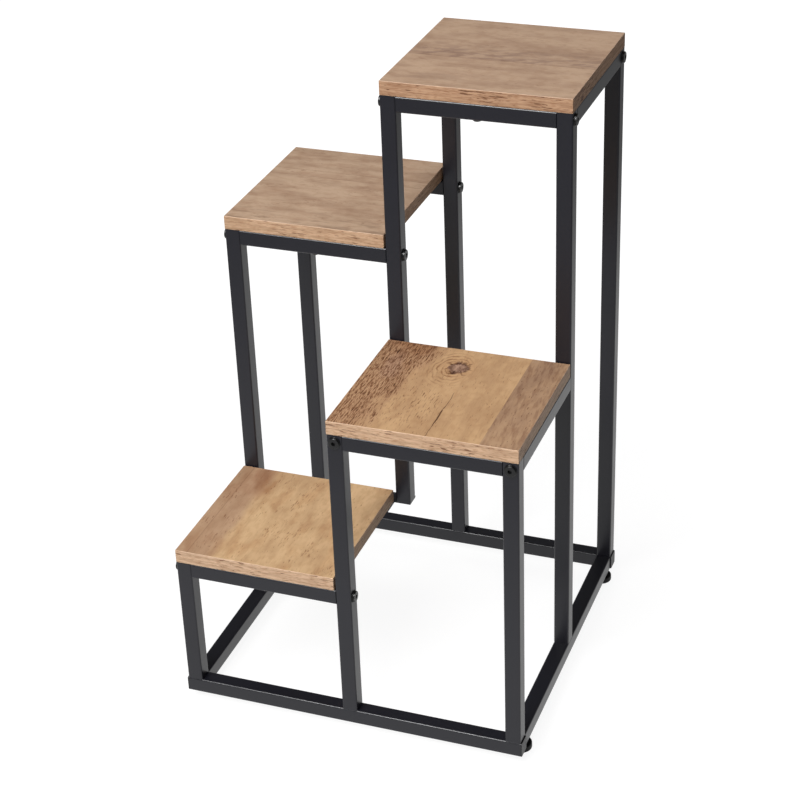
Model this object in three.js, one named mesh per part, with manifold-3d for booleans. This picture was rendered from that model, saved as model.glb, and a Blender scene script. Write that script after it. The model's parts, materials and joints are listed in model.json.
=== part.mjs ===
// A tiered plant stand: four small shelves at four heights on a square frame of steel tube.
// The frame is a grid of nine posts, three columns by three rows, so it has four bays, and each bay
// carries one board. The rails that tie the posts are welded in or bolted through the posts.
// Sizes are in millimetres. +Z is up, the front is -Y, and the origin is on the floor under the middle.
import * as THREE from "three";
import { mergeVertices } from "three/addons/utils/BufferGeometryUtils.js";
import Module from "manifold-3d";

// Frame
const TUBE = 20; // outer side of the square tube
const WALL = 1.2; // thickness of its steel
const TUBE_CORNER = 2; // outer radius of its edges
const BAY_WIDTH = 195; // clear distance between posts, left to right
const BAY_DEPTH = 195; // clear distance between posts, front to rear

// Shelves
const LOW_HEIGHT = 232; // upper face of each board above the floor
const MID_HEIGHT = 454;
const BACK_HEIGHT = 595;
const TOP_HEIGHT = 793;
const BOARD = 18; // thickness of the boards
const BOARD_ARRIS = 0.6; // small bevel along the edges of a board
const BOARD_GAP = 2; // between a board and the posts that it ends against

// Frame bolts, with low flat heads and a washer
const BOLT = 8; // shank diameter
const BOLT_LENGTH = 35; // from under the head to the tip
const BOLT_HEAD = 14;
const BOLT_HEAD_HEIGHT = 2.2;
const BOLT_CROWN = 0.7; // radius of the round edge of its head
const BOLT_SOCKET = 5; // across the flats of the hexagon
const BOLT_SOCKET_DEPTH = 2.8;
const BOLT_TIP_BEVEL = 1;
const WASHER = 16;
const WASHER_THICKNESS = 1;
const END_PLATE = 5; // threaded plate inside the end of a bolted rail
const END_PLATE_INSET = 1; // from the rail's end to the plate

// Board screws, driven upwards through a rail into the board
const SCREW = 5;
const SCREW_HEAD = 12;
const SCREW_HEAD_HEIGHT = 3.6;
const SCREW_CROWN = 2.6; // radius of the round edge of its head
const SCREW_POINT = 5; // length of its tapered tip
const SCREW_BITE = 12; // length of screw inside the board
const RECESS_WIDTH = 1.4; // cross recess in its head
const RECESS_SPAN = 6;
const RECESS_DEPTH = 1.6;

// Corner plate under the centre post
const PLATE = 2.5;
const PLATE_REACH_LEFT = 30; // how far it runs past the post to the left
const PLATE_REACH_FRONT = 26; // how far its ear runs forwards, under the low board

// Levelling feet
const FOOT = 27; // diameter of the pad
const FOOT_PAD = 10; // height of the pad
const FOOT_COLLAR = 14; // diameter of the collar that meets the rail
const FOOT_COLLAR_HEIGHT = 4;
const FOOT_STUD = 8;
const FOOT_STUD_LENGTH = 15; // above the underside of the rail
const FOOT_EDGE = 2.5; // radius round the upper and lower edge of the pad
const FOOT_FROM_FRONT = 36; // from the front face of the frame to the front feet
const FOOT_FROM_REAR = 28;
const FOOT_NUT = 12; // diameter of the nut welded inside the rail
const FOOT_NUT_HEIGHT = 6.5;

// End caps in the open ends of the front and rear bottom rails
const CAP_FLANGE = 1.5;
const CAP_PLUG = 12; // length inside the tube

// Clearances
const HOLE_CLEARANCE = 0.4; // a hole is wider than the shank in it
const PLUG_CLEARANCE = 0.4; // a plug is narrower than the tube round it
const TIP_CLEARANCE = 1; // a blind hole is deeper than the screw in it

// Faceting
const ROUND_STEPS = 16; // round a bolt, screw, foot or hole
const CORNER_STEPS = 3; // along each round edge of a tube
const PROFILE_STEPS = 2; // along a quarter round in a turned profile

// Worked out from the sizes above
const INSIDE = TUBE - 2 * WALL;
const PITCH_X = BAY_WIDTH + TUBE;
const PITCH_Y = BAY_DEPTH + TUBE;
const BOLT_PROUD = WASHER_THICKNESS + BOLT_HEAD_HEIGHT;
const BASE = FOOT_PAD + FOOT_COLLAR_HEIGHT; // underside of the bottom rails
// Bolt heads stand out at the front and not at the rear, so half of that centres the whole.
const MIDDLE_Y = BOLT_PROUD / 2;
const COLUMN = { left: -PITCH_X, mid: 0, right: PITCH_X };
const ROW = { front: MIDDLE_Y - PITCH_Y, mid: MIDDLE_Y, rear: MIDDLE_Y + PITCH_Y };

const SHELF = {
  low: { height: LOW_HEIGHT, columns: ["left", "mid"], rows: ["front", "mid"] },
  mid: { height: MID_HEIGHT, columns: ["mid", "right"], rows: ["front", "mid"] },
  back: { height: BACK_HEIGHT, columns: ["left", "mid"], rows: ["mid", "rear"] },
  top: { height: TOP_HEIGHT, columns: ["mid", "right"], rows: ["mid", "rear"] },
};

const POST = {
  front_left_post: { column: "left", row: "front", shelf: "low" },
  front_mid_post: { column: "mid", row: "front", shelf: "mid" },
  front_right_post: { column: "right", row: "front", shelf: "mid" },
  mid_left_post: { column: "left", row: "mid", shelf: "back" },
  centre_post: { column: "mid", row: "mid", shelf: "top" },
  mid_right_post: { column: "right", row: "mid", shelf: "top" },
  rear_left_post: { column: "left", row: "rear", shelf: "back" },
  rear_mid_post: { column: "mid", row: "rear", shelf: "top" },
  rear_right_post: { column: "right", row: "rear", shelf: "top" },
};

// Each shelf rail runs along `axis` between two posts. A bolted rail has a bolt at each end.
const RAIL = {
  top_front_rail: { axis: "x", shelf: "top", ends: ["centre_post", "mid_right_post"], bolted: true },
  top_rear_rail: { axis: "x", shelf: "top", ends: ["rear_mid_post", "rear_right_post"], bolted: true },
  top_left_rail: { axis: "y", shelf: "top", ends: ["centre_post", "rear_mid_post"] },
  top_right_rail: { axis: "y", shelf: "top", ends: ["mid_right_post", "rear_right_post"] },
  back_front_rail: { axis: "x", shelf: "back", ends: ["mid_left_post", "centre_post"], bolted: true },
  back_rear_rail: { axis: "x", shelf: "back", ends: ["rear_left_post", "rear_mid_post"], bolted: true },
  back_left_rail: { axis: "y", shelf: "back", ends: ["mid_left_post", "rear_left_post"] },
  mid_front_rail: { axis: "x", shelf: "mid", ends: ["front_mid_post", "front_right_post"] },
  mid_left_rail: { axis: "y", shelf: "mid", ends: ["front_mid_post", "centre_post"], bolted: true },
  mid_right_rail: { axis: "y", shelf: "mid", ends: ["front_right_post", "mid_right_post"], bolted: true },
  low_front_rail: { axis: "x", shelf: "low", ends: ["front_left_post", "front_mid_post"], bolted: true },
  low_left_rail: { axis: "y", shelf: "low", ends: ["front_left_post", "mid_left_post"] },
};
const END_NAMES = { x: ["left", "right"], y: ["front", "rear"] };

const wasm = await Module();
wasm.setup();

// A closed geometry as a solid, with its shared vertices merged and its collapsed faces dropped.
function solidOf(geometry) {
  const bare = geometry.clone();
  bare.deleteAttribute("normal");
  bare.deleteAttribute("uv");
  const merged = mergeVertices(bare, 1e-4);
  const corners = [];
  for (let i = 0; i < merged.index.count; i += 3) {
    const [a, b, c] = merged.index.array.slice(i, i + 3);
    if (a !== b && b !== c && c !== a) corners.push(a, b, c);
  }
  const vertProperties = merged.attributes.position.array;
  const triVerts = new Uint32Array(corners);
  return new wasm.Manifold(new wasm.Mesh({ numProp: 3, vertProperties, triVerts }));
}

function geometryOf(solid) {
  const { vertProperties, triVerts } = solid.getMesh();
  const geometry = new THREE.BufferGeometry();
  geometry.setAttribute("position", new THREE.BufferAttribute(vertProperties, 3));
  geometry.setIndex(new THREE.BufferAttribute(triVerts, 1));
  geometry.computeVertexNormals();
  return geometry;
}

// Cuts each cutter geometry out of a geometry.
function cut(geometry, cutters) {
  return geometryOf(cutters.reduce((left, cutter) => left.subtract(solidOf(cutter)), solidOf(geometry)));
}

// Joins each added geometry to a geometry.
function join(geometry, added) {
  return geometryOf(added.reduce((whole, piece) => whole.add(solidOf(piece)), solidOf(geometry)));
}

// Turns a geometry that runs along +Z so that it runs along +X or +Y.
function alongAxis(geometry, axis) {
  if (axis === "x") geometry.rotateY(Math.PI / 2);
  if (axis === "y") geometry.rotateX(-Math.PI / 2);
  return geometry;
}

// Corner points of a square with round corners, about the origin.
function squareOutline(side, radius) {
  const points = [];
  for (let corner = 0; corner < 4; corner += 1) {
    const start = corner * (Math.PI / 2);
    const turn = start + Math.PI / 4;
    const reach = (side / 2 - radius) * Math.SQRT2;
    const centre = [reach * Math.cos(turn), reach * Math.sin(turn)];
    points.push(...quarterRound(centre, radius, start, CORNER_STEPS));
  }
  return points.map(([x, y]) => new THREE.Vector2(x, y));
}

function squareBar(side, radius, length) {
  const shape = new THREE.Shape(squareOutline(side, radius));
  return new THREE.ExtrudeGeometry(shape, { depth: length, bevelEnabled: false });
}

// A square tube from 0 to `length` along +Z.
function tubeAlongZ(length) {
  const shape = new THREE.Shape(squareOutline(TUBE, TUBE_CORNER));
  shape.holes.push(new THREE.Path(squareOutline(INSIDE, TUBE_CORNER - WALL)));
  return new THREE.ExtrudeGeometry(shape, { depth: length, bevelEnabled: false });
}

// A round bar centred on the origin, along one axis.
function roundBar(axis, diameter, length) {
  const bar = new THREE.CylinderGeometry(diameter / 2, diameter / 2, length, ROUND_STEPS);
  bar.rotateX(Math.PI / 2);
  return alongAxis(bar, axis);
}

// A turned body about +Z from pairs of [radius, height], listed from its lower end to its upper end.
function turned(profile) {
  const points = profile.map(([radius, height]) => new THREE.Vector2(radius, height));
  return new THREE.LatheGeometry(points, ROUND_STEPS).rotateX(Math.PI / 2);
}

// Points of a quarter circle that starts at the angle `from`.
function quarterRound(centre, radius, from, steps) {
  return Array.from({ length: steps + 1 }, (_, i) => {
    const angle = from + (i / steps) * (Math.PI / 2);
    return [centre[0] + radius * Math.cos(angle), centre[1] + radius * Math.sin(angle)];
  });
}

const stand = new THREE.Group();

function addPiece(name, geometry, finish, position = [0, 0, 0]) {
  const mesh = new THREE.Mesh(geometry, new THREE.MeshStandardMaterial(finish));
  mesh.name = name;
  mesh.position.set(...position);
  stand.add(mesh);
  return mesh;
}

// Points a piece that runs along +Z in the direction of `way`.
function pointAlong(mesh, way) {
  mesh.quaternion.setFromUnitVectors(new THREE.Vector3(0, 0, 1), new THREE.Vector3(...way));
}

const POWDER_COAT = { color: 0x2c2d30, roughness: 0.5, metalness: 0.55 };
const BLACK_STEEL = { color: 0x141416, roughness: 0.35, metalness: 0.8 };
const BLACK_PLASTIC = { color: 0x101011, roughness: 0.6, metalness: 0 };
const OAK = { color: 0xb8946a, roughness: 0.55, metalness: 0 };

const underside = (shelf) => SHELF[shelf].height - BOARD;
const railHeight = (shelf) => underside(shelf) - TUBE / 2;
const postPlace = (post) => ({ x: COLUMN[POST[post].column], y: ROW[POST[post].row] });

// Posts, each with a hole through it for every bolt that ties a rail to it.
function addPost(name) {
  const { x, y } = postPlace(name);
  const foot = name === "centre_post" ? underside("low") : BASE + TUBE;
  const holes = Object.values(RAIL)
    .filter((rail) => rail.bolted && rail.ends.includes(name))
    .map((rail) =>
      roundBar(rail.axis, BOLT + HOLE_CLEARANCE, 2 * TUBE).translate(0, 0, railHeight(rail.shelf) - foot),
    );
  const tube = tubeAlongZ(underside(POST[name].shelf) - foot);
  addPiece(name, cut(tube, holes), POWDER_COAT, [x, y, foot]);
}

// The middle of a rail's length, as a place on the plan.
function railMiddle(name) {
  const [from, to] = RAIL[name].ends.map(postPlace);
  return { x: (from.x + to.x) / 2, y: (from.y + to.y) / 2 };
}

// Shelf rails. A bolted one has a threaded plate in each end and a hole for the board screw.
function addRail(name) {
  const { axis, shelf, bolted } = RAIL[name];
  const length = axis === "x" ? BAY_WIDTH : BAY_DEPTH;
  let bar = alongAxis(tubeAlongZ(length), axis);
  if (bolted) {
    const plate = (start) =>
      alongAxis(squareBar(TUBE - WALL, TUBE_CORNER - WALL / 2, END_PLATE).translate(0, 0, start), axis);
    const along = (distance) => (axis === "x" ? [distance, 0, 0] : [0, distance, 0]);
    const boltHole = roundBar(axis, BOLT + HOLE_CLEARANCE, 2 * length);
    const screwHole = roundBar("z", SCREW + HOLE_CLEARANCE, 2 * TUBE).translate(...along(length / 2));
    const plates = [plate(END_PLATE_INSET), plate(length - END_PLATE_INSET - END_PLATE)];
    bar = cut(join(bar, plates), [boltHole, screwHole]);
  }
  const { x, y } = railMiddle(name);
  const start = axis === "x" ? [x - length / 2, y] : [x, y - length / 2];
  addPiece(name, bar, POWDER_COAT, [...start, railHeight(shelf)]);
}

// Bottom rails: the front and rear ones run the full width, and the side ones fit between them.
function addCrossRail(name, row) {
  const length = 2 * PITCH_X + TUBE;
  const bar = alongAxis(tubeAlongZ(length), "x");
  addPiece(name, bar, POWDER_COAT, [-length / 2, ROW[row], BASE + TUBE / 2]);
}

const FRONT_FACE = ROW.front - TUBE / 2;
const REAR_FACE = ROW.rear + TUBE / 2;
const FOOT_ROW = { front: FRONT_FACE + FOOT_FROM_FRONT, rear: REAR_FACE - FOOT_FROM_REAR };

function addSideRail(name, column) {
  const start = ROW.front + TUBE / 2;
  const length = ROW.rear - ROW.front - TUBE;
  const floor = -TUBE / 2;
  const nuts = [];
  const holes = [];
  for (const y of Object.values(FOOT_ROW)) {
    const height = FOOT_NUT_HEIGHT + WALL / 2;
    nuts.push(roundBar("z", FOOT_NUT, height).translate(0, y - start, floor + WALL / 2 + height / 2));
    holes.push(roundBar("z", FOOT_STUD + HOLE_CLEARANCE, TUBE).translate(0, y - start, floor));
  }
  const bar = cut(join(alongAxis(tubeAlongZ(length), "y"), nuts), holes);
  addPiece(name, bar, POWDER_COAT, [COLUMN[column], start, BASE + TUBE / 2]);
}

function addEndCap(name, row, side) {
  const flange = squareBar(TUBE, TUBE_CORNER, CAP_FLANGE).translate(0, 0, -CAP_FLANGE);
  const plug = squareBar(INSIDE - PLUG_CLEARANCE, TUBE_CORNER - WALL, CAP_PLUG + CAP_FLANGE / 2);
  const cap = join(flange, [plug.translate(0, 0, -CAP_FLANGE / 2)]);
  const x = side * (PITCH_X + TUBE / 2);
  pointAlong(addPiece(name, cap, BLACK_PLASTIC, [x, ROW[row], BASE + TUBE / 2]), [-side, 0, 0]);
}

// The plate closes the lower end of the centre post and carries the corner of the low board.
const PLATE_SCREW = {
  x: COLUMN.mid - TUBE / 2 - PLATE_REACH_LEFT / 2,
  y: ROW.mid - TUBE / 2 - PLATE_REACH_FRONT / 2,
};

function addCornerPlate() {
  const half = TUBE / 2;
  const left = -half - PLATE_REACH_LEFT;
  const front = -half - PLATE_REACH_FRONT;
  const outline = [
    [half, -half],
    [half, half],
    [left, half],
    [left, front],
    [-half - BOARD_GAP, front],
    [-half - BOARD_GAP, -half],
  ];
  const shape = new THREE.Shape(outline.map(([x, y]) => new THREE.Vector2(x, y)));
  const blank = new THREE.ExtrudeGeometry(shape, { depth: PLATE, bevelEnabled: false });
  const hole = roundBar("z", SCREW + HOLE_CLEARANCE, 4 * PLATE);
  hole.translate(PLATE_SCREW.x - COLUMN.mid, PLATE_SCREW.y - ROW.mid, 0);
  const place = [COLUMN.mid, ROW.mid, underside("low") - PLATE];
  addPiece("centre_post_plate", cut(blank, [hole]), POWDER_COAT, place);
}

// Where each board screw stands on the plan, and how thick the steel is that it passes through.
const BOARD_SCREWS = [];
for (const [name, rail] of Object.entries(RAIL)) {
  if (!rail.bolted) continue;
  const screw = name.replace("_rail", "_screw");
  BOARD_SCREWS.push({ name: screw, shelf: rail.shelf, steel: TUBE, ...railMiddle(name) });
}
BOARD_SCREWS.push({ name: "low_plate_screw", shelf: "low", steel: PLATE, ...PLATE_SCREW });

// A board spans from the outer faces of its first posts to the next posts, or over the last ones.
function boardSpan(shelf) {
  const reach = ([first, last], line, end) => [
    line[first] - TUBE / 2,
    last === end ? line[last] + TUBE / 2 : line[last] - TUBE / 2 - BOARD_GAP,
  ];
  const [x0, x1] = reach(SHELF[shelf].columns, COLUMN, "right");
  const [y0, y1] = reach(SHELF[shelf].rows, ROW, "rear");
  return { x0, x1, y0, y1 };
}

function addBoard(shelf) {
  const { x0, x1, y0, y1 } = boardSpan(shelf);
  const e = BOARD_ARRIS;
  const corners = [
    [e, e],
    [x1 - x0 - e, e],
    [x1 - x0 - e, y1 - y0 - e],
    [e, y1 - y0 - e],
  ];
  const shape = new THREE.Shape(corners.map(([x, y]) => new THREE.Vector2(x, y)));
  const bevel = { bevelThickness: e, bevelSize: e, bevelSegments: 1 };
  const slab = new THREE.ExtrudeGeometry(shape, { depth: BOARD - 2 * e, ...bevel }).translate(0, 0, e);
  const depth = SCREW_BITE + TIP_CLEARANCE;
  const pilots = BOARD_SCREWS.filter((screw) => screw.shelf === shelf).map((screw) =>
    roundBar("z", SCREW + HOLE_CLEARANCE, 2 * depth).translate(screw.x - x0, screw.y - y0, 0),
  );
  addPiece(`${shelf}_board`, cut(slab, pilots), OAK, [x0, y0, underside(shelf)]);
}

// The round edge of a screw or bolt head that faces down, from its flat middle out to its side.
function crownProfile(diameter, bottom, radius) {
  const centre = [diameter / 2 - radius, bottom + radius];
  return quarterRound(centre, radius, -Math.PI / 2, PROFILE_STEPS);
}

// A bolt whose washer lies on z = 0, with its head below that and its shank above.
function boltGeometry() {
  const shank = BOLT / 2;
  const tip = BOLT_LENGTH - WASHER_THICKNESS;
  const body = turned([
    [0, -BOLT_PROUD],
    ...crownProfile(BOLT_HEAD, -BOLT_PROUD, BOLT_CROWN),
    [BOLT_HEAD / 2, -WASHER_THICKNESS],
    [WASHER / 2, -WASHER_THICKNESS],
    [WASHER / 2, 0],
    [shank, 0],
    [shank, tip - BOLT_TIP_BEVEL],
    [shank - BOLT_TIP_BEVEL, tip],
    [0, tip],
  ]);
  const socketRadius = BOLT_SOCKET / Math.sqrt(3);
  const socket = new THREE.CylinderGeometry(socketRadius, socketRadius, 2 * BOLT_SOCKET_DEPTH, 6);
  return cut(body, [socket.rotateX(Math.PI / 2).translate(0, 0, -BOLT_PROUD)]);
}

// The two bolts of a rail: each stands on the far face of its post and points into the rail.
function addRailBolts(name) {
  const { axis, shelf, ends } = RAIL[name];
  ends.forEach((post, end) => {
    const inwards = end === 0 ? 1 : -1;
    const place = { ...postPlace(post), z: railHeight(shelf) };
    place[axis] -= (inwards * TUBE) / 2;
    const bolt = `${name.replace("_rail", "")}_bolt_${END_NAMES[axis][end]}`;
    const mesh = addPiece(bolt, boltGeometry(), BLACK_STEEL, [place.x, place.y, place.z]);
    pointAlong(mesh, axis === "x" ? [inwards, 0, 0] : [0, inwards, 0]);
  });
}

// A screw whose head lies under z = 0 and whose shank rises `length` above it.
function screwGeometry(length) {
  const shank = SCREW / 2;
  const body = turned([
    [0, -SCREW_HEAD_HEIGHT],
    ...crownProfile(SCREW_HEAD, -SCREW_HEAD_HEIGHT, SCREW_CROWN),
    [SCREW_HEAD / 2, 0],
    [shank, 0],
    [shank, length - SCREW_POINT],
    [0, length],
  ]);
  const slot = (x, y) => new THREE.BoxGeometry(x, y, 2 * RECESS_DEPTH).translate(0, 0, -SCREW_HEAD_HEIGHT);
  return cut(body, [slot(RECESS_WIDTH, RECESS_SPAN), slot(RECESS_SPAN, RECESS_WIDTH)]);
}

function addBoardScrew({ name, shelf, steel, x, y }) {
  addPiece(name, screwGeometry(steel + SCREW_BITE), BLACK_STEEL, [x, y, underside(shelf) - steel]);
}

// A levelling foot: a round pad on a stud that screws into the nut in the side rail.
function footGeometry() {
  const rim = FOOT / 2;
  const e = FOOT_EDGE;
  return turned([
    [0, 0],
    ...quarterRound([rim - e, e], e, -Math.PI / 2, PROFILE_STEPS),
    ...quarterRound([rim - e, FOOT_PAD - e], e, 0, PROFILE_STEPS),
    [FOOT_COLLAR / 2, FOOT_PAD],
    [FOOT_COLLAR / 2, BASE],
    [FOOT_STUD / 2, BASE],
    [FOOT_STUD / 2, BASE + FOOT_STUD_LENGTH],
    [0, BASE + FOOT_STUD_LENGTH],
  ]);
}

Object.keys(POST).forEach(addPost);
Object.keys(RAIL).forEach(addRail);
addCrossRail("base_front_rail", "front");
addCrossRail("base_rear_rail", "rear");
addSideRail("base_left_rail", "left");
addSideRail("base_right_rail", "right");
addCornerPlate();
Object.keys(SHELF).forEach(addBoard);
for (const row of ["front", "rear"]) {
  addEndCap(`${row}_left_cap`, row, -1);
  addEndCap(`${row}_right_cap`, row, 1);
  for (const column of ["left", "right"]) {
    addPiece(`${row}_${column}_foot`, footGeometry(), BLACK_PLASTIC, [COLUMN[column], FOOT_ROW[row], 0]);
  }
}
Object.keys(RAIL)
  .filter((name) => RAIL[name].bolted)
  .forEach(addRailBolts);
BOARD_SCREWS.forEach(addBoardScrew);

export default stand;
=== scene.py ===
"""Looks of a tiered plant stand: black powder-coated tube, rustic wood-grain boards, black hardware.

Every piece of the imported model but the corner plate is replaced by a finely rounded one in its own
place, and all of them get a procedural finish.
"""

import json
from math import cos, pi, radians, sin, sqrt

import bmesh
import bpy
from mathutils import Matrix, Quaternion, Vector


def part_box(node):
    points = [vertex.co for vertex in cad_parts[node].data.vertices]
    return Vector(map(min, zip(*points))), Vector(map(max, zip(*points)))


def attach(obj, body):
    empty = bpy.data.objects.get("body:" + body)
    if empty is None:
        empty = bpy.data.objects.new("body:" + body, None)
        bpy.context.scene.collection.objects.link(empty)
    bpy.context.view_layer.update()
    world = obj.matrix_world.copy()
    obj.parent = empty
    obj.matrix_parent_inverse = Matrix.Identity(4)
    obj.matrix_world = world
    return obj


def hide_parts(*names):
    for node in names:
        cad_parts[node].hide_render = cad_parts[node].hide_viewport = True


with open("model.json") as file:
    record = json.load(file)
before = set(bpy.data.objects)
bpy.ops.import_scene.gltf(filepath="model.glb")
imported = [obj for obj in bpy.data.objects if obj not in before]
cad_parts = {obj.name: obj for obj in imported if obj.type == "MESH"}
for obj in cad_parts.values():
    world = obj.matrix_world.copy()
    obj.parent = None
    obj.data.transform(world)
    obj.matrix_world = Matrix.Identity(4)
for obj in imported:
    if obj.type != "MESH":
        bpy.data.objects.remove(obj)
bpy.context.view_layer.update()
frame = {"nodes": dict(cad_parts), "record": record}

NODES = sorted(frame["nodes"])
BODY_OF = {node: body for body, nodes in frame["record"]["behaviour"]["bodies"].items() for node in nodes}
SLOT_OF = {part["node"]: part["material_slot"] for part in frame["record"]["subparts"]}
TUBES = [node for node in NODES if node.endswith(("_rail", "_post"))]
BOARDS = [node for node in NODES if node.endswith("_board")]
BOLTS = [node for node in NODES if "_bolt_" in node]
SCREWS = [node for node in NODES if node.endswith("_screw")]
FEET = [node for node in NODES if node.endswith("_foot")]
CAPS = [node for node in NODES if node.endswith("_cap")]

# Sizes that the boxes of the pieces don't give
MM = 0.001
TUBE_CORNER = 2 * MM  # outer radius of a tube's edges
TUBE_WALL = 1.2 * MM
BOARD_ARRIS = 0.8 * MM
WASHER = 1 * MM  # thickness of a bolt's washer
WASHER_RADIUS = 8 * MM
WASHER_EDGE = WASHER / 3  # rounding of its rim
BOLT_RADIUS = 4 * MM
BOLT_HEAD = 2.2 * MM  # height of its head
BOLT_HEAD_RADIUS = 7 * MM
BOLT_CROWN = 0.7 * MM  # rounding of the head's rim
BOLT_SOCKET = 5 * MM  # across the flats
BOLT_SOCKET_DEPTH = 2.8 * MM
BOLT_TIP_BEVEL = 1 * MM
SCREW_RADIUS = 2.5 * MM
SCREW_HEAD = 3.6 * MM
SCREW_HEAD_RADIUS = 6 * MM
SCREW_CROWN = 2.6 * MM
SCREW_POINT = 5 * MM
SCREW_RECESS = (1.4 * MM, 6 * MM)  # width and span of the cross in its head
SCREW_RECESS_DEPTH = 1.6 * MM
FOOT_PAD = 10 * MM  # height of the pad
FOOT_EDGE = 2.5 * MM
FOOT_COLLAR = 14 * MM  # top of the collar
FOOT_COLLAR_RADIUS = 7 * MM
FOOT_STUD_RADIUS = 4 * MM
CAP_FLANGE = 1.5 * MM
CAP_EDGE = 0.4 * MM
HOLE_CLEARANCE = 0.2 * MM  # round a shank or stud
HOLE_LENGTHS = 4  # length of a drilled hole, in lengths of its bolt or screw
FOOT_HOLE = 12 * MM  # and of a foot's hole, half of it below the rail

# How the pieces are made
CORNER_STEPS = 4  # facets round a tube's edge
EDGE_STEPS = 3  # facets round the edge of a board, a washer or a cap
SMOOTH_ANGLE = 32  # degrees between two facets that still shade as one
HEAD_SMOOTH_ANGLE = 40  # the same on bolts and screws
ALIGNED = 0.9  # least share of a direction along an axis that counts as lying along it
FACING_UP = 0.8  # least share of a normal up or down that still shows the print of a board's face


# Finishes


class Value:
    """A number or vector in a shader, with arithmetic that adds Math nodes."""

    def __init__(self, shading, socket):
        self.shading, self.socket = shading, socket

    def maths(self, operation, *others):
        inputs = dict(enumerate((self, *others)))
        return self.shading.node("ShaderNodeMath", {"operation": operation}, inputs)

    def __add__(self, other):
        return self.maths("ADD", other)

    def __sub__(self, other):
        return self.maths("SUBTRACT", other)

    def __mul__(self, other):
        return self.maths("MULTIPLY", other)

    def __truediv__(self, other):
        return self.maths("DIVIDE", other)

    def __rsub__(self, other):
        return self * -1 + other

    def __abs__(self):
        return self.maths("ABSOLUTE")

    __radd__ = __add__
    __rmul__ = __mul__


class Shading:
    """The node tree of a material or of the world, and the place (x, y, z) that its patterns read."""

    def __init__(self, owner, shader, place):
        owner.use_nodes = True
        self.tree = owner.node_tree
        self.shader = self.tree.nodes[shader]
        place = self.node("ShaderNodeTexCoord", output=place)
        self.x, self.y, self.z = (
            self.node("ShaderNodeSeparateXYZ", inputs={0: place}, output=axis) for axis in "XYZ"
        )

    def feed(self, socket, value):
        if isinstance(value, Value):
            self.tree.links.new(value.socket, socket)
        else:
            socket.default_value = value

    def node(self, kind, settings=None, inputs=None, output=0):
        """Adds a node: its settings come first, then its input values or links."""
        made = self.tree.nodes.new(kind)
        for name, value in (settings or {}).items():
            setattr(made, name, value)
        for name, value in (inputs or {}).items():
            self.feed(made.inputs[name], value)
        return Value(self, made.outputs[output])

    def rise(self, value, low, high):
        """0 below `low`, 1 above `high` and a soft step between; a `high` under `low` falls instead."""
        settings = {"interpolation_type": "SMOOTHSTEP"}
        return self.node("ShaderNodeMapRange", settings, {0: value, 1: low, 2: high, 3: 0.0, 4: 1.0})

    def ray(self, kind):
        """1 for the rays of one kind, such as Camera or Glossy, and 0 for all others."""
        return self.node("ShaderNodeLightPath", output=f"Is {kind} Ray")

    def eye(self):
        """1 where the camera sees the surface itself, also through glass, and 0 for all other light."""
        return self.ray("Camera") + self.ray("Transmission")


class Finish(Shading):
    """A procedural material. Its patterns read the piece's own object coordinates, in metres."""

    def __init__(self, name, roughness=0.5, specular=0.5):
        self.material = bpy.data.materials.new(name)
        super().__init__(self.material, "Principled BSDF", "Object")
        self.shader.inputs["Roughness"].default_value = roughness
        self.shader.inputs["Specular IOR Level"].default_value = specular

    def point(self, x, y, z=0.0):
        return self.node("ShaderNodeCombineXYZ", inputs={0: x, 1: y, 2: z})

    def noise(self, where, detail=2.0, roughness=0.5):
        """Smooth noise from 0 to 1 with features about one unit of `where` wide."""
        levels = {"Vector": where, "Scale": 1.0, "Detail": detail, "Roughness": roughness}
        return self.node("ShaderNodeTexNoise", inputs=levels)

    def speckle(self, size, detail=2.0):
        """Even noise all round a piece, with features about `size` wide."""
        return self.noise(self.point(self.x / size, self.y / size, self.z / size), detail)

    def mix(self, amount, below, above):
        settings = {"data_type": "RGBA", "clamp_factor": True}
        return self.node("ShaderNodeMix", settings, {0: amount, 6: below, 7: above}, output=2)

    def tint(self, amount, colour, over):
        """Multiplies `colour` into `over`, by `amount`."""
        settings = {"data_type": "RGBA", "blend_type": "MULTIPLY", "clamp_factor": True}
        return self.node("ShaderNodeMix", settings, {0: amount, 6: over, 7: (*colour, 1)}, output=2)

    def finish(self, colour, roughness, height, depth):
        """Joins the pattern to the shader; `depth` is the size of the relief, in metres."""
        self.feed(self.shader.inputs["Base Color"], colour)
        self.feed(self.shader.inputs["Roughness"], roughness)
        relief = self.node("ShaderNodeBump", inputs={"Height": height, "Distance": depth, "Strength": 1.0})
        self.feed(self.shader.inputs["Normal"], relief)
        return self.material


def screen(red, green, blue):
    """A colour given as a screen shows it, 0 to 255, as the shader takes it."""

    def channel(value):
        value /= 255
        return value / 12.92 if value <= 0.04045 else ((value + 0.055) / 1.055) ** 2.4

    return (channel(red), channel(green), channel(blue), 1.0)


def powder_coat():
    coat = Finish("powder_coat")
    peel = coat.speckle(1.4 * MM, 3)
    cloud = coat.speckle(110 * MM, 3)
    colour = coat.mix(cloud, screen(17, 17, 25), screen(24, 24, 33))
    return coat.finish(colour, cloud * 0.08 + peel * 0.06 + 0.27, peel, 0.03 * MM)


def black_hardware():
    plating = Finish("black_hardware")
    cloud = plating.speckle(4 * MM, 3)
    colour = plating.mix(cloud, screen(8, 8, 9), screen(18, 18, 19))
    return plating.finish(colour, cloud * 0.14 + 0.24, cloud, 0.02 * MM)


def black_plastic(name="black_plastic", specular=0.45):
    plastic = Finish(name, specular=specular)
    grain = plastic.speckle(0.8 * MM)
    cloud = plastic.speckle(25 * MM)
    colour = plastic.mix(cloud, screen(13, 13, 14), screen(20, 20, 21))
    return plastic.finish(colour, grain * 0.12 + 0.4, grain, 0.04 * MM)


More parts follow.
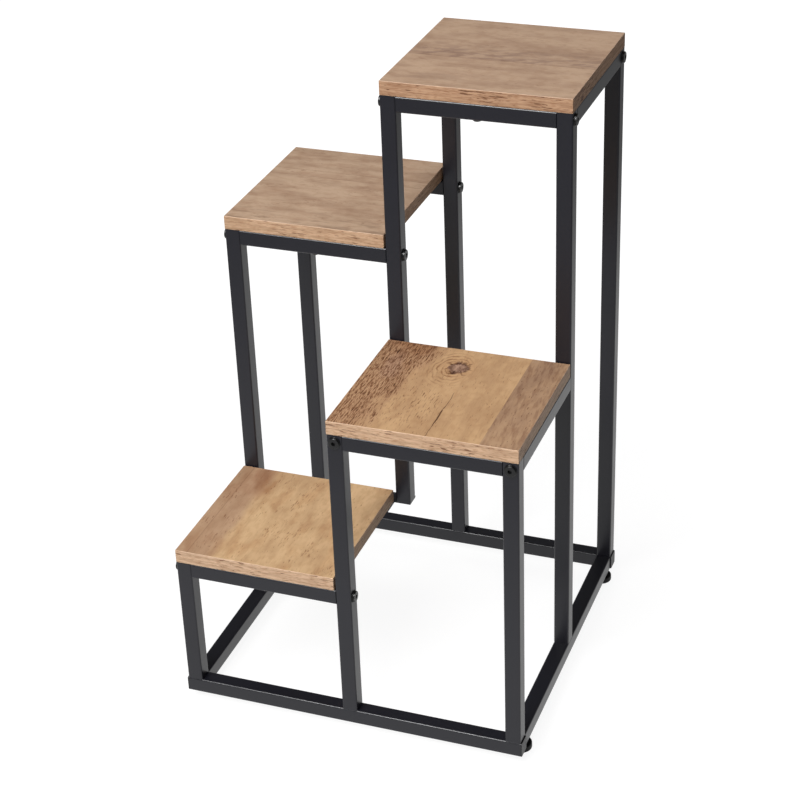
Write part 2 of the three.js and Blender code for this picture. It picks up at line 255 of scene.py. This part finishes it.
class Wood(Finish):
    """A rustic wood print on a board, mapped in millimetres from the board's low corner, as the
    distances `along` and `across` the grain and `up`."""

    def __init__(self, board, part, grain="x"):
        super().__init__(f"{board}_{part}", specular=0.3)
        low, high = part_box(board)
        x, y, self.up = ((place - start) / MM for place, start in zip((self.x, self.y, self.z), low))
        self.along, self.across = (x, y) if grain == "x" else (y, x)
        self.thickness = (high.z - low.z) / MM

    def ripple(self, length, width, seed, detail=3.0):
        """Noise from 0 to 1 with features `length` long and `width` wide, in millimetres."""
        return self.noise(self.point(self.along / length, self.across / width, seed), detail)

    def oval(self, along, across, length, width, ragged=0.0):
        """Distance from a place on the board, in half-sizes of an oval, so that its rim is 1."""
        a = (self.along - along) / (length / 2)
        b = (self.across - across) / (width / 2)
        return (a * a + b * b).maths("SQRT") + (self.ripple(length / 3, width / 3, 41) - 0.5) * ragged

    def ground(self, pale, deep, seed):
        """Plain grain: soft bands and veils, a mottle across them and fine lines."""
        band = self.ripple(130, 44, seed) * 0.5 + self.ripple(46, 17, seed + 2, 5) * 0.5
        colour = self.mix(self.rise(band, 0.38, 0.6), screen(*deep), screen(*pale))
        mottle = self.rise(self.ripple(12, 8, seed + 6, 5), 0.44, 0.66)
        colour = self.tint(mottle * 0.35, (0.8, 0.71, 0.64), colour)
        line = self.rise(self.ripple(22, 2, seed + 4), 0.52, 0.72)
        return self.tint(line * 0.36, (0.72, 0.62, 0.54), colour)

    def dashes(self, colour, seed, density, length=9.0, width=1.6, shade=(0.38, 0.27, 0.2)):
        """Short dark dashes along the grain, few where the density is 0 and crowded where it is 1."""
        dash = self.rise(self.ripple(length, width, seed, 1.5) + density * 0.2, 0.7, 0.76)
        return self.tint(dash * 0.8, shade, colour)

    def seam(self, colour, across):
        """The fine dark line between two planks."""
        line = self.rise(abs(self.across - across), 0.9, 0.2)
        return self.tint(line * 0.4, (0.45, 0.33, 0.27), colour)

    def done(self, colour):
        pores = self.ripple(9, 0.5, 90, 2.0)
        return self.finish(colour, pores * 0.14 + 0.46, pores, 0.05 * MM)


def low_face():
    wood = Wood("low_board", "face", grain="y")
    colour = wood.ground((217, 181, 138), (198, 161, 121), 1)
    plank = wood.rise(wood.across + wood.ripple(60, 20, 8) * 24, 70, 50)
    colour = wood.mix(plank * 0.8, colour, wood.ground((190, 154, 126), (172, 136, 108), 2))
    streak = wood.rise(wood.oval(190, 42, 110, 44, 1.8), 1.2, 0.0)
    colour = wood.tint(streak * 0.75, (0.66, 0.48, 0.38), colour)
    blush = wood.rise(wood.ripple(60, 26, 9, 4), 0.5, 0.66)
    colour = wood.tint(blush * 0.5, (0.8, 0.68, 0.6), colour)
    crowd = wood.rise(wood.ripple(50, 30, 12), 0.42, 0.66)
    colour = wood.dashes(colour, 6, crowd * 0.42, shade=(0.5, 0.37, 0.3))
    colour = wood.dashes(colour, 14, crowd * 0.4, length=14, width=2.6, shade=(0.6, 0.48, 0.4))
    return wood.done(wood.seam(colour, 16))


def mid_face():
    wood = Wood("mid_board", "face", grain="y")
    colour = wood.ground((206, 167, 125), (190, 151, 112), 3)
    patch = wood.rise(wood.oval(62, 88, 150, 80, 1.0), 1.1, 0.4)
    colour = wood.dashes(colour, 7, patch * 0.55, length=11)
    colour = knot(wood, colour, along=166, across=108)
    colour = crack(wood, colour, across=123, reach=109)
    colour = sawn_side(wood, colour)
    dull = wood.ground((184, 149, 117), (164, 130, 103), 5)
    scuff = wood.noise(wood.point((wood.along + wood.across * 1.8) / 26, wood.across / 6, 8.0), 5)
    dull = wood.tint(wood.rise(scuff, 0.47, 0.62) * 0.7, (0.66, 0.58, 0.56), dull)
    dull = wood.dashes(dull, 17, 0.2)
    colour = wood.mix(wood.rise(wood.across, 187.6, 188.4), colour, dull)
    return wood.done(colour)


def knot(wood, colour, along, across):
    """A knot: an oval heart with a dark ragged rim and short checks, and rings on its left and front."""
    wide = wood.oval(along - 5, across - 5, 30, 22, 0.35)
    ring = (wide * 13 + wood.ripple(20, 12, 33) * 7).maths("SINE")
    side = wood.rise(wood.across - across, 18, -6) * 0.85 + 0.15
    shown = wood.rise(wide, 3.6, 2.0) * side * wood.rise(wood.ripple(14, 14, 31), 0.32, 0.6)
    colour = wood.tint(wood.rise(ring, 0.1, 0.95) * shown * 0.9, (0.54, 0.42, 0.34), colour)
    far = wood.oval(along, across, 26, 23, 1.1)
    colour = wood.tint(wood.rise(far, 2.6, 0.9) * 0.5, (0.84, 0.74, 0.69), colour)
    paleness = wood.rise(wood.ripple(7, 6, 35), 0.35, 0.65)
    heart = wood.mix(paleness, screen(124, 90, 71), screen(181, 145, 122))
    colour = wood.mix(wood.rise(far, 1.15, 0.9), colour, heart)
    left = wood.rise(wood.across - across, 10, -6) * 0.5 + 0.5
    rim = wood.rise(abs(far - 1.0), 0.34, 0.08) * wood.rise(wood.ripple(11, 10, 37), 0.38, 0.54) * left
    colour = wood.tint(rim * 0.95, (0.28, 0.18, 0.13), colour)
    turn = (wood.across - across).maths("ARCTAN2", wood.along - along)
    check = (turn * 7 + wood.ripple(6, 6, 39) * 5).maths("SINE")
    checks = wood.rise(check, 0.7, 0.98) * wood.rise(abs(far - 1.0), 0.7, 0.3)
    return wood.tint(checks * 0.7, (0.34, 0.24, 0.19), colour)


def crack(wood, colour, across, reach):
    """A crack along the grain from the board's front edge, thickest a little way in."""
    wander = wood.ripple(24, 1000, 21) * 3.6 - 1.8
    width = wood.rise(abs(wood.along - 49), 30, 4) * 0.8 + 0.4
    line = wood.rise(abs(wood.across - across + wander) / width, 1.2, 0.4)
    line = line * wood.rise(wood.along, reach, reach - 8) * wood.rise(wood.ripple(12, 1000, 23), 0.3, 0.42)
    return wood.tint(line * 0.95, (0.16, 0.1, 0.07), colour)


def sawn_side(wood, colour):
    """The rough-sawn brown stretch at the mid board's left side, wider towards the rear, where the
    saw marks crowd and which fades into the smooth wood."""
    edge = wood.across - wood.along * 0.14 + (wood.ripple(40, 14, 51) - 0.5) * 70
    rough = wood.rise(edge, 62, 26)
    brown = wood.ground((190, 150, 115), (172, 132, 99), 11)
    greyed = wood.rise(wood.oval(152, 30, 90, 34, 1.6), 1.1, 0.3)
    brown = wood.tint(greyed * 0.8, (0.86, 0.86, 1.0), brown)
    deep = wood.rise(wood.oval(204, 44, 56, 84, 1.8), 1.2, 0.2)
    brown = wood.tint(deep * 0.8, (0.66, 0.52, 0.42), brown)
    colour = wood.mix(rough * 0.9, colour, brown)
    for seed, length, width in ((13, 14, 1.6), (15, 10, 1.4), (18, 12, 2.0)):
        colour = wood.dashes(colour, seed, rough * 0.76, length, width, shade=(0.4, 0.27, 0.2))
    return colour


def back_face():
    wood = Wood("back_board", "face")
    colour = wood.ground((196, 167, 141), (177, 147, 122), 20)
    drift = wood.rise(wood.ripple(60, 16, 24, 5), 0.47, 0.62)
    colour = wood.tint(drift * 0.5, (0.78, 0.7, 0.66), colour)
    colour = wood.seam(wood.seam(colour, 146), 165)
    worn = wood.rise(wood.across, 60, 12) * wood.rise(wood.ripple(34, 9, 25, 4), 0.5, 0.64)
    colour = wood.tint(worn * 0.6, (0.62, 0.58, 0.56), colour)
    crowd = wood.rise(wood.ripple(60, 22, 27), 0.45, 0.66)
    colour = wood.dashes(colour, 26, crowd * 0.4, shade=(0.55, 0.45, 0.38))
    return wood.done(wood.dashes(colour, 28, crowd * 0.4, 12, 3.2, shade=(0.74, 0.65, 0.6)))


def top_face():
    wood = Wood("top_board", "face")
    colour = wood.ground((193, 163, 137), (174, 143, 119), 60)
    fade = wood.across + wood.ripple(40, 30, 62) * 50
    band = wood.rise(wood.across, 98.4, 99.6) * wood.rise(fade, 186, 136)
    smudge = wood.noise(wood.point((wood.along - wood.across * 0.9) / 26, wood.across / 10, 64.0), 5)
    colour = wood.tint(band * (wood.rise(smudge, 0.46, 0.58) * 0.7 + 0.25), (0.66, 0.62, 0.65), colour)
    corner = wood.rise(wood.oval(62, 30, 90, 26, 1.8), 1.2, 0.2)
    colour = wood.tint(corner * 0.6, (0.66, 0.62, 0.62), colour)
    colour = wood.seam(colour, 99)
    crowd = wood.rise(wood.ripple(60, 20, 67), 0.5, 0.68)
    colour = wood.dashes(colour, 66, crowd * 0.4, shade=(0.6, 0.5, 0.44))
    return wood.done(wood.dashes(colour, 68, crowd * 0.5, 14, 3.0, shade=(0.76, 0.69, 0.66)))


# Each edge band: a seed, its pale and deep colours, and how dark and crowded its dashes are. The colours
# are the band's own tone and in part painted shade: the edges of the boards further back and higher up are
# darker, standing in for the light that falls off there.
EDGE_COLOURS_AND_SHADE = {
    "low_board": (71, (225, 191, 159), (203, 168, 138), 0.5),
    "mid_board": (74, (217, 182, 150), (195, 160, 130), 0.6),
    "back_board": (77, (202, 167, 136), (180, 146, 116), 0.5),
    "top_board": (80, (188, 150, 119), (162, 124, 95), 0.9),
}


def board_edge(board):
    """The edge band, with dark dashes along it and a painted highlight of the rounded arris: a paler line
    at its upper and lower rim.
    """
    wood = Wood(board, "edge")
    seed, pale, deep, crowded = EDGE_COLOURS_AND_SHADE[board]
    length = wood.along + wood.across

    def streaks(long, high, offset):
        return wood.noise(wood.point(length / long, wood.up / high, seed + offset), 3)

    colour = wood.mix(wood.rise(streaks(40, 3, 0), 0.38, 0.62), screen(*deep), screen(*pale))
    colour = wood.tint(wood.rise(streaks(9, 1.5, 1), 0.48, 0.62) * 0.6, (0.7, 0.57, 0.48), colour)
    crowd = wood.rise(streaks(60, 30, 2), 0.4, 0.6) * crowded
    dash = wood.rise(streaks(14, 1.8, 3) + crowd * 0.12, 0.65, 0.7)
    colour = wood.tint(dash * 0.9, (0.3, 0.2, 0.15), colour)
    middle = wood.thickness / 2
    # Painted highlight: the band's upper and lower rim is mixed towards a pale colour, as if the rounded
    # arris caught the light.
    rim = wood.rise(abs(wood.up - middle), middle - 0.9, middle - 0.3)
    colour = wood.mix(rim * 0.5, colour, screen(224, 194, 166))
    return wood.done(colour)


FINISHES = {make.__name__: make() for make in (powder_coat, black_hardware, black_plastic)}
DULL_PLASTIC = black_plastic("dull_plastic", specular=0.15)
FACES = {"low_board": low_face, "mid_board": mid_face, "back_board": back_face, "top_board": top_face}


# Modelling helpers


def choose_object(piece):
    """Makes a piece the only selected object."""
    if bpy.context.mode != "OBJECT":
        bpy.ops.object.mode_set(mode="OBJECT")
    bpy.ops.object.select_all(action="DESELECT")
    piece.select_set(True)
    bpy.context.view_layer.objects.active = piece


def begin(name):
    """Names the primitive that was just added and puts its place in its mesh."""
    piece = bpy.context.object
    piece.name = piece.data.name = name
    bpy.ops.object.transform_apply(location=True, rotation=True, scale=True)
    return piece


def block(name, centre, size):
    bpy.ops.object.select_all(action="DESELECT")
    bpy.ops.mesh.primitive_cube_add(size=1, location=centre, scale=size)
    return begin(name)


def rod(name, centre, radius, length, axis=2, sides=32):
    bpy.ops.object.select_all(action="DESELECT")
    turn = ((0, pi / 2, 0), (pi / 2, 0, 0), (0, 0, 0))[axis]
    bpy.ops.mesh.primitive_cylinder_add(
        vertices=sides, radius=radius, depth=length, location=centre, rotation=turn
    )
    return begin(name)


def pick(piece, kind, wanted):
    """In edit mode, selects the edges or faces that pass a test, and nothing else. The test gets an
    edge's middle and direction, or a face's middle and normal."""
    choose_object(piece)
    bpy.ops.object.mode_set(mode="EDIT")
    bpy.ops.mesh.select_mode(type=kind)
    bpy.ops.mesh.select_all(action="DESELECT")
    mesh = bmesh.from_edit_mesh(piece.data)
    mesh.normal_update()
    if kind == "EDGE":
        for edge in mesh.edges:
            a, b = (vert.co for vert in edge.verts)
            edge.select_set(wanted((a + b) / 2, (b - a).normalized()))
    else:
        for face in mesh.faces:
            face.select_set(wanted(face.calc_center_median(), face.normal))
    mesh.select_flush_mode()
    bmesh.update_edit_mesh(piece.data)


def modify(piece, kind, **settings):
    """Adds a modifier with its settings and applies it."""
    choose_object(piece)
    modifier = piece.modifiers.new(kind.lower(), kind)
    for key, value in settings.items():
        setattr(modifier, key, value)
    bpy.ops.object.modifier_apply(modifier=modifier.name)


def cut(piece, cutter):
    modify(piece, "BOOLEAN", operation="DIFFERENCE", object=cutter, solver="EXACT")
    bpy.data.objects.remove(cutter)


def smooth(piece, angle=SMOOTH_ANGLE):
    """Shades round edges smooth, and keeps the flat faces flat."""
    choose_object(piece)
    bpy.ops.object.shade_smooth_by_angle(angle=radians(angle))
    modify(piece, "WEIGHTED_NORMAL", keep_sharp=True)


def copy_of(piece, name):
    twin = piece.copy()
    twin.data = piece.data.copy()
    twin.name = twin.data.name = name
    bpy.context.collection.objects.link(twin)
    return twin


def put(piece, place, direction=(0, 0, 1)):
    """Turns a piece that points along +Z to a direction and moves it to a place, in its mesh."""
    choose_object(piece)
    piece.rotation_mode = "QUATERNION"
    piece.rotation_quaternion = Vector((0, 0, 1)).rotation_difference(Vector(direction))
    piece.location = place
    bpy.ops.object.transform_apply(location=True, rotation=True, scale=False)


def stand_for(piece, node, *materials):
    """The piece takes the place of the CAD node, rides on its body and takes its finish."""
    for material in materials or (FINISHES[SLOT_OF[node]],):
        piece.data.materials.append(material)
    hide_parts(node)
    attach(piece, BODY_OF[node])


def turned(name, profile, steps=48):
    """A round body about Z: its profile of (radius, height) is drawn point by point, then turned by
    a modifier, which unlike a spin numbers its faces alike in every run."""
    bpy.ops.object.select_all(action="DESELECT")
    bpy.ops.mesh.primitive_plane_add(size=MM, location=(profile[0][0], 0, profile[0][1]))
    piece = begin(name)
    bpy.ops.object.mode_set(mode="EDIT")
    bpy.ops.mesh.select_mode(type="VERT")
    bpy.ops.mesh.select_all(action="SELECT")
    bpy.ops.mesh.merge(type="CENTER")
    for (r0, z0), (r1, z1) in zip(profile, profile[1:]):
        bpy.ops.mesh.extrude_region_move(TRANSFORM_OT_translate={"value": (r1 - r0, 0, z1 - z0)})
    full_turn = {"axis": "Z", "angle": 2 * pi, "steps": steps, "render_steps": steps}
    modify(piece, "SCREW", use_merge_vertices=True, merge_threshold=MM / 1000, **full_turn)
    bpy.ops.object.mode_set(mode="EDIT")
    bpy.ops.mesh.select_all(action="SELECT")
    bpy.ops.mesh.normals_make_consistent(inside=False)
    bpy.ops.object.mode_set(mode="OBJECT")
    return piece


def rounded(centre, radius, start, steps=5):
    """Points of a quarter circle in a profile, from the angle `start`."""
    angles = [start + i * pi / 2 / steps for i in range(steps + 1)]
    return [(centre[0] + radius * cos(a), centre[1] + radius * sin(a)) for a in angles]


def crown(radius, bottom, rounding):
    """The underside of a head or pad, from its middle out to its rounded rim."""
    return [(0, bottom)] + rounded((radius - rounding, bottom + rounding), rounding, -pi / 2)


def middle_of(node):
    low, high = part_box(node)
    return (low + high) / 2, high - low


def long_axis(size):
    return max(range(3), key=lambda i: size[i])


# Pieces


def drill(piece, node):
    """Cuts the hole of each bolt, screw or stud that passes through the tube's wall."""
    low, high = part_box(node)
    for fixing in BOLTS + SCREWS + FEET:
        start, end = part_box(fixing)
        if not all(start[i] < high[i] and end[i] > low[i] for i in range(3)):
            continue
        centre, size = middle_of(fixing)
        length = HOLE_LENGTHS * max(size)
        if fixing in BOLTS:
            hole = rod("hole", centre, BOLT_RADIUS + HOLE_CLEARANCE, length, long_axis(size))
        elif fixing in SCREWS:
            hole = rod("hole", centre, SCREW_RADIUS + HOLE_CLEARANCE, length)
        else:
            centre.z = low.z
            hole = rod("hole", centre, FOOT_STUD_RADIUS + HOLE_CLEARANCE, FOOT_HOLE)
        cut(piece, hole)


def tube(node):
    """A square tube with round corners, open at its ends and drilled for what passes through it."""
    centre, size = middle_of(node)
    axis = long_axis(size)
    piece = block(node + "_tube", centre, size)
    pick(piece, "FACE", lambda middle, normal: abs(normal[axis]) > ALIGNED)
    bpy.ops.mesh.delete(type="FACE")
    pick(piece, "EDGE", lambda middle, way: abs(way[axis]) > ALIGNED)
    bpy.ops.mesh.bevel(offset=TUBE_CORNER, segments=CORNER_STEPS, profile=0.5)
    modify(piece, "SOLIDIFY", thickness=TUBE_WALL, offset=-1.0, use_even_offset=True)
    drill(piece, node)
    smooth(piece)
    stand_for(piece, node)


def board(node):
    """A board with broken edges, a print on its faces and another on its edge band."""
    piece = block(node + "_panel", *middle_of(node))
    pick(piece, "EDGE", lambda middle, way: True)
    bpy.ops.mesh.bevel(offset=BOARD_ARRIS, segments=EDGE_STEPS, profile=0.5)
    smooth(piece)
    for face in piece.data.polygons:
        face.material_index = 0 if abs(face.normal.z) > FACING_UP else 1
    stand_for(piece, node, FACES[node](), board_edge(node))


def bolt_model():
    """A flat-head bolt whose washer lies on z = 0, with its head below that and its shank above."""
    size = middle_of(BOLTS[0])[1]
    proud = WASHER + BOLT_HEAD
    tip = max(size) - proud
    rim, groove = WASHER_EDGE, WASHER_EDGE / 2
    profile = crown(BOLT_HEAD_RADIUS, -proud, BOLT_CROWN)
    profile += [(BOLT_HEAD_RADIUS, -WASHER - groove), (BOLT_HEAD_RADIUS - groove, -WASHER)]
    profile += rounded((WASHER_RADIUS - rim, rim - WASHER), rim, -pi / 2, EDGE_STEPS)
    profile += [(WASHER_RADIUS, -rim), (WASHER_RADIUS - rim, 0), (BOLT_RADIUS, 0)]
    profile += [(BOLT_RADIUS, tip - BOLT_TIP_BEVEL), (BOLT_RADIUS - BOLT_TIP_BEVEL, tip), (0, tip)]
    piece = turned("bolt", profile)
    cut(piece, rod("socket", (0, 0, -proud), BOLT_SOCKET / sqrt(3), 2 * BOLT_SOCKET_DEPTH, sides=6))
    smooth(piece, HEAD_SMOOTH_ANGLE)
    return piece


def bolt(node, model):
    """Each bolt points inwards from the post that its washer lies on."""
    centre, size = middle_of(node)
    axis = long_axis(size)
    inwards = 1 if node.endswith(("_left", "_front")) else -1
    direction = [0, 0, 0]
    direction[axis] = inwards
    centre[axis] -= inwards * (size[axis] / 2 - WASHER - BOLT_HEAD)
    piece = copy_of(model, node + "_fixing")
    put(piece, centre, direction)
    stand_for(piece, node)


def screw(node):
    """A pan-head screw with a cross recess, which points upwards."""
    centre, size = middle_of(node)
    length = size.z - SCREW_HEAD
    profile = crown(SCREW_HEAD_RADIUS, -SCREW_HEAD, SCREW_CROWN)
    profile += [(SCREW_HEAD_RADIUS, 0), (SCREW_RADIUS, 0)]
    profile += [(SCREW_RADIUS, length - SCREW_POINT), (0, length)]
    piece = turned(node + "_fixing", profile)
    for width, span in (SCREW_RECESS, SCREW_RECESS[::-1]):
        cut(piece, block("recess", (0, 0, -SCREW_HEAD), (width, span, 2 * SCREW_RECESS_DEPTH)))
    smooth(piece, HEAD_SMOOTH_ANGLE)
    put(piece, centre - Vector((0, 0, size.z / 2 - SCREW_HEAD)))
    stand_for(piece, node)


def foot(node):
    """A levelling foot: a round pad, its collar and the stud in the rail."""
    centre, size = middle_of(node)
    radius = size.x / 2
    profile = crown(radius, 0, FOOT_EDGE)
    profile += rounded((radius - FOOT_EDGE, FOOT_PAD - FOOT_EDGE), FOOT_EDGE, 0)
    profile += [(FOOT_COLLAR_RADIUS, FOOT_PAD), (FOOT_COLLAR_RADIUS, FOOT_COLLAR)]
    profile += [(FOOT_STUD_RADIUS, FOOT_COLLAR), (FOOT_STUD_RADIUS, size.z), (0, size.z)]
    piece = turned(node + "_pad", profile)
    smooth(piece)
    put(piece, (centre.x, centre.y, 0))
    stand_for(piece, node, DULL_PLASTIC)


def end_cap(node):
    """A cap: a flange with the tube's own corners, and a plug inside the tube."""
    centre, size = middle_of(node)
    outside = 1 if centre.x > 0 else -1
    face = centre.x + outside * size.x / 2
    flange = (face - outside * CAP_FLANGE / 2, centre.y, centre.z)
    piece = block(node + "_insert", flange, (CAP_FLANGE, size.y, size.z))
    pick(piece, "FACE", lambda middle, normal: normal.x * outside < -ALIGNED)
    bpy.ops.mesh.inset(thickness=TUBE_WALL + HOLE_CLEARANCE)
    plug = -outside * (size.x - CAP_FLANGE)
    bpy.ops.mesh.extrude_region_move(TRANSFORM_OT_translate={"value": (plug, 0, 0)})
    pick(piece, "EDGE", lambda middle, way: abs(way.x) > ALIGNED and abs(middle.x - face) < CAP_FLANGE)
    bpy.ops.mesh.bevel(offset=TUBE_CORNER, segments=CORNER_STEPS, profile=0.5)
    pick(piece, "EDGE", lambda middle, way: abs(middle.x - face) < CAP_EDGE / 10)
    bpy.ops.mesh.bevel(offset=CAP_EDGE, segments=EDGE_STEPS, profile=0.5)
    smooth(piece)
    stand_for(piece, node)


for node in TUBES:
    tube(node)
for node in BOARDS:
    board(node)
model = bolt_model()
for node in BOLTS:
    bolt(node, model)
bpy.data.objects.remove(model)
for node in SCREWS:
    screw(node)
for node in FEET:
    foot(node)
for node in CAPS:
    end_cap(node)
plate = frame["nodes"]["centre_post_plate"].data
plate.materials.clear()
plate.materials.append(FINISHES["powder_coat"])


# Studio

FLOOR_SIZE = 12
FLOOR_SEEN = (0.9, 1.0)  # white of the floor by itself, near the object and far from it
FLOOR_SEEN_AT = (0.35, 1.6)  # the distances from the middle that are near and far
FLOOR_MIRRORED = (0.8, 0.2)  # white of the floor in a reflection, a painted pool of light that fades from near to far
FLOOR_MIRRORED_AT = (0.7, 1.6)
POOL_Y = 0.25  # middle of the pool, a little behind the object's
FLOOR_LIT = (0.2, 0.2, 0.2, 1)  # colour of the floor under the lamps, which keeps the shadow
CEILING = 0.25  # share of the world's brightness that is left high up
CEILING_AT = (0.42, 0.12)  # the heights of a direction where only that is left and where all is
WORLD_MIRRORED = 0.4  # white of the world at the horizon, in a reflection
WORLD_LIGHT = 0.36  # and as it lights the object


def studio_floor():
    """White to the eye, with the object's soft shadow, a dull grey as it lights the object, and in
    reflections a painted pool of light.
    """
    floor = Finish("studio_floor", roughness=1.0, specular=0.0)

    def glow(levels, distances, middle_y):
        near, far = levels
        y = floor.y - middle_y
        distance = (floor.x * floor.x + y * y).maths("SQRT")
        return floor.rise(distance, *distances) * (far - near) + near

    seen = floor.eye() * glow(FLOOR_SEEN, FLOOR_SEEN_AT, 0)
    # Painted light: in reflections the floor glows as a pool of light round a point a little behind the
    # object.
    mirrored = floor.ray("Glossy") * glow(FLOOR_MIRRORED, FLOOR_MIRRORED_AT, POOL_Y)
    floor.feed(floor.shader.inputs["Base Color"], FLOOR_LIT)
    floor.feed(floor.shader.inputs["Emission Color"], seen + mirrored)
    floor.feed(floor.shader.inputs["Emission Strength"], 1.0)
    return floor.material


bpy.ops.object.select_all(action="DESELECT")
bpy.ops.mesh.primitive_plane_add(size=FLOOR_SIZE, location=(0, 0, 0))
ground = begin("floor")
ground.data.materials.append(studio_floor())


def studio_world():
    """White to the eye, with a soft light that fades a little above the horizon."""
    bpy.context.scene.world = bpy.data.worlds.new("studio")
    world = Shading(bpy.context.scene.world, "Background", "Generated")
    fade = world.rise(world.z, *CEILING_AT) * (1 - CEILING) + CEILING
    share = world.ray("Glossy") * WORLD_MIRRORED + world.ray("Diffuse") * WORLD_LIGHT
    world.feed(world.shader.inputs["Color"], world.eye() + fade * share)
    world.feed(world.shader.inputs["Strength"], 1.0)


def softbox(name, azimuth, elevation, distance, size, power, aim=(0, 0, 0.4), lights=True, mirrored=True):
    """A square lamp that points at the object, from an azimuth of 0 in front or 90 on the right. It
    lights matt surfaces, is mirrored in shiny ones, or both."""
    a, e = radians(azimuth), radians(elevation)
    back = Vector((sin(a) * cos(e), -cos(a) * cos(e), sin(e)))
    lamp = bpy.data.lights.new(name, "AREA")
    lamp.shape, lamp.size, lamp.energy = "SQUARE", size, power
    holder = bpy.data.objects.new(name, lamp)
    bpy.context.scene.collection.objects.link(holder)
    holder.location = Vector(aim) + back * distance
    holder.rotation_euler = (-back).to_track_quat("-Z", "Y").to_euler()
    holder.visible_diffuse = lights
    holder.visible_glossy = mirrored


studio_world()
softbox("key", azimuth=-14, elevation=49, distance=2.6, size=1.6, power=72.5)
softbox("front", azimuth=-5, elevation=8, distance=1.7, size=1.2, power=5, aim=(0, 0, 0.1), mirrored=False)
softbox("back", azimuth=172, elevation=32, distance=3.0, size=2.0, power=20, mirrored=False)
softbox("rim", azimuth=-25, elevation=56, distance=2.6, size=1.0, power=60, lights=False)


# The photograph's camera

AZIMUTH, ELEVATION, ROLL = radians(21.127), radians(29.361), radians(-2.259)
CAMERA_PLACE = (0.7928, -2.0567, 1.6028)
SENSOR_WIDTH, FOCAL_LENGTH = 36, 89.38

lens = bpy.data.cameras.new("photo_camera")
lens.sensor_width = SENSOR_WIDTH
lens.lens = FOCAL_LENGTH
camera = bpy.data.objects.new("photo_camera", lens)
bpy.context.scene.collection.objects.link(camera)
camera.location = CAMERA_PLACE
forward = Vector((-sin(AZIMUTH) * cos(ELEVATION), cos(AZIMUTH) * cos(ELEVATION), -sin(ELEVATION)))
camera.rotation_mode = "QUATERNION"
camera.rotation_quaternion = forward.to_track_quat("-Z", "Y") @ Quaternion((0, 0, 1), ROLL)
bpy.context.scene.camera = camera
bpy.context.scene.view_settings.view_transform = "Standard"
